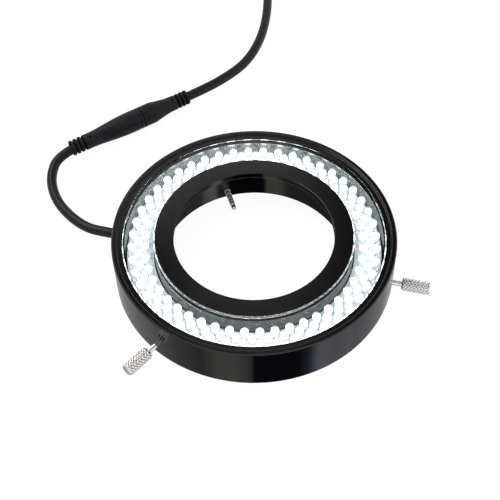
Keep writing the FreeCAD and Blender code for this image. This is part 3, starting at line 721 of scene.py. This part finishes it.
board_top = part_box("led_board")[1].z
lamps_round = 48
lamp_step = math.tau / lamps_round
first_lamp = math.radians(1.81)
for name, circle_radius, shift in (("inner", 41.6, 0.0), ("middle", 44.2, 0.5),
                                   ("outer", 46.6, 0.0)):
    row = []
    for part, finish in ((one_lamp, clear_resin), (one_core, lit_core)):
        row.append((shaped(part.name + "s", part.data.copy(), ring_tree, Count=lamps_round,
                           Circle=circle_radius * mm, Height=board_top, Finish=finish,
                           **{"First Angle": first_lamp + lamp_step * shift}), Matrix()))
    lamps = join_into("lamps_" + name, row)
    lamps.data.set_sharp_from_angle(angle=math.radians(40))
    fitted(lamps, "housing", "lamp_white", "led_row_" + name)
bpy.data.objects.remove(one_lamp)
bpy.data.objects.remove(one_core)

# ---------------------------------------------------------------- cover
# A thin black ring that closes the housing from below, held by six countersunk
# screws that bite in the board's posts.
cover_black = lacquer("cover black", (0.012, 0.012, 0.013), 0.35, 0.2)
refinish("back_cover", cover_black)
screw_steel = grained(surface("screw steel", (0.6, 0.6, 0.62), 0.3, 1.0), (0.5, 0.5, 0.52),
                      (0.68, 0.68, 0.7), 500.0, 0.22, 0.4, 0.2)
refinish("cover_screws", screw_steel)
refinish("cord_clamp", screw_steel)


# ---------------------------------------------------------------- clamping screws
# Three nickelled brass screws, each with a diamond-knurled knob with a bevelled
# end, a fine thread along its shank and a ball-nosed tip that swivels in its nose.
nickel = grained(surface("bright nickel", (0.84, 0.82, 0.79), 0.14, 1.0), (0.79, 0.77, 0.73),
                 (0.89, 0.87, 0.84), 260.0, 0.10, 0.20, 0.1)
knurl_nickel = grained(surface("knurled nickel", (0.86, 0.83, 0.79), 0.18, 1.0),
                       (0.80, 0.77, 0.72), (0.91, 0.89, 0.86), 900.0, 0.14, 0.26, 0.1)
# Painted shade: the knurl's grooves get a darker, duller copy of the nickel, standing in for the
# shade that falls in them.
shaded_knurl_valley = grained(surface("knurl valley painted shade", (0.22, 0.20, 0.17), 0.35, 1.0),
                       (0.14, 0.12, 0.10), (0.30, 0.28, 0.24), 900.0, 0.30, 0.45, 0.2)
knurl_tree, given = new_tree("diamond knurl", [
    ("Radius", "Float"), ("Length", "Float"), ("Around", "Float"), ("Along", "Float"),
    ("Depth", "Float"), ("Bevel", "Float"), ("Columns", "Int"), ("Rows", "Int"),
    ("Finish", "Material")])


def sums(tree, operation, first, second=None, third=None):
    """One Math node's result."""
    inputs = {0: first}
    if second is not None:
        inputs[1] = second
    if third is not None:
        inputs[2] = third
    return add(tree, "ShaderNodeMath", inputs, operation=operation).outputs[0]


blank = add(knurl_tree, "GeometryNodeMeshCylinder", {"Vertices": given["Columns"],
            "Side Segments": given["Rows"], "Radius": given["Radius"],
            "Depth": given["Length"]})
point = add(knurl_tree, "ShaderNodeSeparateXYZ",
            {0: add(knurl_tree, "GeometryNodeInputPosition").outputs[0]})
turn_of = sums(knurl_tree, "ARCTAN2", point.outputs["Y"], point.outputs["X"])
across = sums(knurl_tree, "MULTIPLY", sums(knurl_tree, "DIVIDE", turn_of, math.tau),
              given["Around"])
down = sums(knurl_tree, "MULTIPLY", sums(knurl_tree, "DIVIDE", point.outputs["Z"],
            given["Length"]), given["Along"])
first_cut = sums(knurl_tree, "PINGPONG", sums(knurl_tree, "ADD", across, down), 0.5)
second_cut = sums(knurl_tree, "PINGPONG", sums(knurl_tree, "SUBTRACT", across, down), 0.5)
nearest = sums(knurl_tree, "MULTIPLY", sums(knurl_tree, "MINIMUM", first_cut, second_cut), 2.4)
crossing = sums(knurl_tree, "MULTIPLY", sums(knurl_tree, "ADD", first_cut, second_cut), 0.9)
crest = sums(knurl_tree, "MINIMUM", sums(knurl_tree, "ADD", nearest, crossing), 1.0)
end_gap = sums(knurl_tree, "SUBTRACT", sums(knurl_tree, "MULTIPLY", given["Length"], 0.5),
               sums(knurl_tree, "ABSOLUTE", point.outputs["Z"]))
bevel = sums(knurl_tree, "SUBTRACT", 1.0, sums(knurl_tree, "DIVIDE", end_gap, given["Bevel"]))
bevel = sums(knurl_tree, "MULTIPLY", sums(knurl_tree, "MAXIMUM", bevel, 0.0), given["Bevel"])
groove = sums(knurl_tree, "MULTIPLY", sums(knurl_tree, "SUBTRACT", 1.0, crest), given["Depth"])
sunk = sums(knurl_tree, "MAXIMUM", groove, bevel)
factor = sums(knurl_tree, "SUBTRACT", 1.0, sums(knurl_tree, "DIVIDE", sunk, given["Radius"]))
spread = add(knurl_tree, "ShaderNodeCombineXYZ", {
    "X": sums(knurl_tree, "MULTIPLY", point.outputs["X"], factor),
    "Y": sums(knurl_tree, "MULTIPLY", point.outputs["Y"], factor),
    "Z": point.outputs["Z"]})
cut_knurl = add(knurl_tree, "GeometryNodeSetPosition", {"Geometry": blank.outputs[0],
                "Position": spread.outputs[0]})
end_tree(knurl_tree, cut_knurl.outputs[0], given)

thread_tree, given = new_tree("screw thread", [
    ("Radius", "Float"), ("Length", "Float"), ("Turns", "Float"), ("Depth", "Float"),
    ("Finish", "Material")])
helix = add(thread_tree, "GeometryNodeCurveSpiral", {"Resolution": 18,
            "Rotations": given["Turns"], "Start Radius": given["Radius"],
            "End Radius": given["Radius"], "Height": given["Length"]})
tooth = add(thread_tree, "GeometryNodeCurvePrimitiveCircle", {"Resolution": 3,
            "Radius": given["Depth"]})
wound = add(thread_tree, "GeometryNodeCurveToMesh", {"Curve": helix.outputs[0],
            "Profile Curve": tooth.outputs[0], "Fill Caps": True})
end_tree(thread_tree, wound.outputs[0], given)


def frame_along(start, way):
    """The place of a turned piece whose axis runs along way, with its X upwards."""
    up = Vector((0, 0, 1))
    across_way = way.cross(up)
    turn_matrix = Matrix((up, across_way, way)).transposed()
    if turn_matrix.determinant() < 0:
        turn_matrix = Matrix((up, -across_way, way)).transposed()
    return Matrix.Translation(start) @ turn_matrix.to_4x4()


knob_start = 57.7
knob_length = 10.8
knob_radius = 2.5
knurl_depth = 0.34
valley_radius = 2.30
shank_radius = 1.08
nose = 30.6
for i, way in enumerate(screw_ways, start=1):
    knob = shaped("knob", bpy.data.meshes.new("knob"), knurl_tree, Radius=knob_radius * mm,
                  Length=knob_length * mm, Around=9.0, Along=8.5, Depth=knurl_depth * mm,
                  Bevel=0.5 * mm, Columns=126, Rows=90, Finish=knurl_nickel)
    # Faces sunk below valley_radius take the darker valley nickel: painted shade in the grooves.
    sort_faces(knob, [knurl_nickel, shaded_knurl_valley, nickel], lambda middle, normal: (
        2 if abs(normal.z) > 0.6
        else 1 if math.hypot(middle.x, middle.y) < valley_radius else 0))
    core = turned("core", eased([
        (0, nose + 2.05), (0.65, nose + 2.05), (0.65, nose), (0.95, nose),
        (shank_radius, nose + 0.15), (shank_radius, knob_start + 0.2), (0, knob_start + 0.2)],
        0.05, 2, closed=False), 32, nickel, closed=False)
    thread = shaped("thread", bpy.data.meshes.new("thread"), thread_tree,
                    Radius=(shank_radius + 0.01) * mm,
                    Length=(knob_start - nose - 0.4) * mm, Turns=59.0, Depth=0.06 * mm,
                    Finish=nickel)
    screwed_in = 2.0 * mm if i == 2 else 0.0
    axis_frame = frame_along(screw_line - way * screwed_in, way)
    screw = join_into("clamp_screw_%d" % i, [
        (knob, axis_frame @ Matrix.Translation((0, 0, (knob_start + knob_length / 2) * mm))),
        (core, axis_frame),
        (thread, axis_frame @ Matrix.Translation((0, 0, (nose + 0.2) * mm)))])
    screw.data.set_sharp_from_angle(angle=math.radians(28))
    fitted(screw, "screw_%d" % i, "nickel", "thumbscrew_%d" % i)
    refinish("swivel_tip_%d" % i, nickel)
    refinish("screw_guide_%d" % i, nickel)

# ---------------------------------------------------------------- cord entry
# A black rubber grommet seals the hole in the wall.  Behind it the cord is
# clamped, and its two wires go up to the board.
refinish("cord_grommet", rubber)
wire_red = grained(surface("red wire", (0.5, 0.02, 0.015), 0.45), (0.42, 0.015, 0.012),
                   (0.55, 0.03, 0.02), 200.0, 0.4, 0.5, 0.1)
refinish("wire_positive", wire_red)
refinish("wire_negative", cord_black)

# ---------------------------------------------------------------- in-line socket
# A moulded socket on the end of the ring's lead: a ribbed strain relief, a long
# swelling body with finger ribs below, and a grooved mouth.
moulded_black = grained(surface("moulded black", (0.005, 0.006, 0.008), 0.45,
                                Specular_IOR_Level=0.2), (0.003, 0.004, 0.006),
                        (0.008, 0.010, 0.013), 140.0, 0.38, 0.52, 0.25, 1800.0)
# Painted shade: the floors of the relief grooves get a darker black with almost no gloss, standing
# in for the shade inside the grooves.
groove_shade_black = grained(surface("groove black painted shade", (0.003, 0.003, 0.004), 0.8, Specular_IOR_Level=0.05),
                     (0.002, 0.002, 0.003), (0.004, 0.004, 0.005), 140.0, 0.7, 0.9, 0.2, 1800.0)
relief_floor = 2.55


def ribbed(start, count, outer, pitch=2.0, gap=1.0, floor=relief_floor):
    """The corners of so many grooves along an outline, as (radius, place)."""
    corners = []
    for k in range(count):
        first = start + pitch * k
        corners += [(outer, first), (floor, first), (floor, first + gap), (outer, first + gap)]
    return corners


def bridges(name, start):
    """The small ties that cross each groove of a strain relief on two sides."""
    ties = bmesh.new()
    for k in range(3):
        for side in (50, 230):
            place = (Matrix.Rotation(math.radians(side), 4, "Z")
                     @ Matrix.Translation(Vector((2.85, 0, start + 0.5 + 2.0 * k)) * mm)
                     @ Matrix.Diagonal((0.7 * mm, 1.5 * mm, 1.2 * mm, 1)))
            bmesh.ops.create_cube(ties, size=1.0, matrix=place)
    made = bpy.data.meshes.new(name)
    ties.to_mesh(made)
    ties.free()
    made.materials.append(moulded_black)
    piece = bpy.data.objects.new(name, made)
    bpy.context.scene.collection.objects.link(piece)
    return piece


neck = 3.35
mouth = 4.6
mouth_floor = 4.3
swell = [(neck + (mouth - neck) * math.sin(math.pi / 2 * s) ** 1.5, 9.5 + 18.5 * s)
         for s in (0.0, 0.12, 0.25, 0.38, 0.5, 0.63, 0.76, 0.88, 1.0)]
socket_outline = [(0, 8.0), (2.1, 8.0), (2.1, 0.0), (neck, 0.0, 0.3)]
socket_outline += ribbed(1.0, 3, neck) + swell + [
    (mouth, 31.2), (mouth_floor, 31.2), (mouth_floor, 31.8), (mouth, 31.8), (mouth, 33.4, 0.3)]
socket_outline += [(3.2, 33.4), (3.2, 23.4), (1.0, 23.4), (1.0, 21.5), (0, 21.5)]
socket = turned("socket_turned", eased(socket_outline, 0.16, 3, closed=False), 64,
                moulded_black, closed=False)
# Faces near the axis, the groove floors, take the painted-shade black.
sort_faces(socket, [moulded_black, groove_shade_black],
           lambda middle, normal: 1 if math.hypot(middle.x, middle.y) < 3.0 else 0)
even_shading(socket)

grip_tree, given = new_tree("finger ribs", [
    ("Count", "Int"), ("Start", "Float"), ("Pitch", "Float"), ("Rib Radius", "Float"),
    ("Body Radius", "Float"), ("Swell", "Float"), ("Half Angle", "Float"),
    ("Finish", "Material")])
arc = add(grip_tree, "GeometryNodeCurveArc", {"Resolution": 15, "Radius": 1.0,
          "Start Angle": sums(grip_tree, "MULTIPLY", given["Half Angle"], -1.0),
          "Sweep Angle": sums(grip_tree, "MULTIPLY", given["Half Angle"], 2.0)})
row_line = add(grip_tree, "GeometryNodeMeshLine", {
    "Count": given["Count"],
    "Start Location": add(grip_tree, "ShaderNodeCombineXYZ", {"Z": given["Start"]}).outputs[0],
    "Offset": add(grip_tree, "ShaderNodeCombineXYZ", {"Z": given["Pitch"]}).outputs[0]})
which = add(grip_tree, "GeometryNodeInputIndex").outputs[0]
wide = sums(grip_tree, "ADD", given["Body Radius"],
            sums(grip_tree, "MULTIPLY", which, given["Swell"]))
arcs = add(grip_tree, "GeometryNodeInstanceOnPoints", {
    "Points": row_line.outputs[0], "Instance": arc.outputs[0],
    "Scale": add(grip_tree, "ShaderNodeCombineXYZ", {"X": wide, "Y": wide, "Z": 1.0}).outputs[0]})
loose = add(grip_tree, "GeometryNodeRealizeInstances", {0: arcs.outputs[0]})
bead = add(grip_tree, "GeometryNodeCurvePrimitiveCircle", {"Resolution": 10,
           "Radius": given["Rib Radius"]})
beads = add(grip_tree, "GeometryNodeCurveToMesh", {"Curve": loose.outputs[0],
            "Profile Curve": bead.outputs[0], "Fill Caps": True})
end_tree(grip_tree, beads.outputs[0], given)
grip = shaped("grip", bpy.data.meshes.new("grip"), grip_tree, Count=5, Start=14.2 * mm,
              Pitch=1.35 * mm, Finish=moulded_black, Swell=0.1 * mm,
              **{"Rib Radius": 0.22 * mm, "Body Radius": 3.9 * mm,
                 "Half Angle": math.radians(30)})
socket_frame = frame_along(joint, along)
facing_front = Matrix.Rotation(math.radians(62), 4, "Z")
socket = join_into("in_line_socket", [
    (socket, socket_frame), (bridges("bridges", 1.0), socket_frame),
    (grip, socket_frame @ facing_front)])
vent_side = (Vector((0, 0, 0.945)) + Vector((along.y, -along.x, 0)) * 0.326).normalized()
drilled(socket, [(joint + along * 8.8 * mm + vent_side * 4.4 * mm, -vent_side, 0.55 * mm,
                  2.0 * mm)], moulded_black)
socket.data.set_sharp_from_angle(angle=math.radians(32))
fitted(socket, "housing", "connector_black", "socket_body")
contact_nickel = grained(surface("contact nickel", (0.78, 0.76, 0.72), 0.22, 1.0),
                         (0.72, 0.70, 0.66), (0.84, 0.82, 0.79), 300.0, 0.18, 0.3, 0.1)
for node in ("socket_contact", "socket_pin"):
    refinish(node, contact_nickel)


# ---------------------------------------------------------------- barrel plugs
# Two moulded plugs on the supply lead, one pushed into the socket and one at its
# far end: a straight body behind the barrel, a waist and a ribbed strain relief.
def barrel_plug(name, tip, way, vent):
    """The plug's moulded body; +Z runs from the barrel's tip to the cord."""
    outline_points = [(0, 12.5), (2.55, 12.5), (2.55, 9.5), (mouth, 9.5, 0.3)]
    outline_points += ribbed(11.1, 1, mouth, gap=0.6, floor=mouth_floor)
    outline_points += [(mouth, 14.9, 1.5), (3.95, 18.4, 3.0), (3.3, 22.4, 1.5)]
    outline_points += ribbed(26.4, 3, 3.2) + [(3.2, 32.4, 0.3), (2.1, 32.4), (2.1, 24.4),
                                              (0, 24.4)]
    body = turned(name + "_turned", eased(outline_points, 0.16, 3, closed=False), 64,
                  moulded_black, closed=False)
    # Faces near the axis, the groove floors, take the painted-shade black.
    sort_faces(body, [moulded_black, groove_shade_black],
               lambda middle, normal: 1 if math.hypot(middle.x, middle.y) < 2.9 else 0)
    even_shading(body)
    place = frame_along(tip, way)
    body = join_into(name, [(body, place), (bridges("bridges", 26.4), place)])
    body.data.set_sharp_from_angle(angle=math.radians(32))
    if vent is not None:
        drilled(body, [(tip + way * 24.7 * mm + vent * 4.4 * mm, -vent, 0.55 * mm, 2.0 * mm)],
                moulded_black)
        body.data.set_sharp_from_angle(angle=math.radians(32))
    return body


plug = barrel_plug("supply_plug", joint + along * 24.1 * mm, along, vent_side)
fitted(plug, "supply", "connector_black", "supply_plug_body")
end_plug = barrel_plug("end_plug", Vector((-79.2, 229.6, 4.65)) * mm, Vector((1, 0, 0)), None)
fitted(end_plug, "supply", "connector_black", "end_plug_body")
for node in ("supply_plug_barrel", "end_plug_barrel"):
    refinish(node, contact_nickel)
for node in ("supply_plug_insulator", "end_plug_insulator"):
    refinish(node, chip_black)

# ---------------------------------------------------------------- coil tie
# A soft black strap of woven nylon, closed round the coil's two layers and pulled
# flat over the turns.
strap_black = grained(surface("strap black", (0.02, 0.02, 0.02), 0.8, Sheen_Weight=0.3),
                      (0.012, 0.012, 0.012), (0.035, 0.035, 0.036), 1500.0, 0.7, 0.9, 0.5,
                      5000.0)
refinish("coil_tie", strap_black)
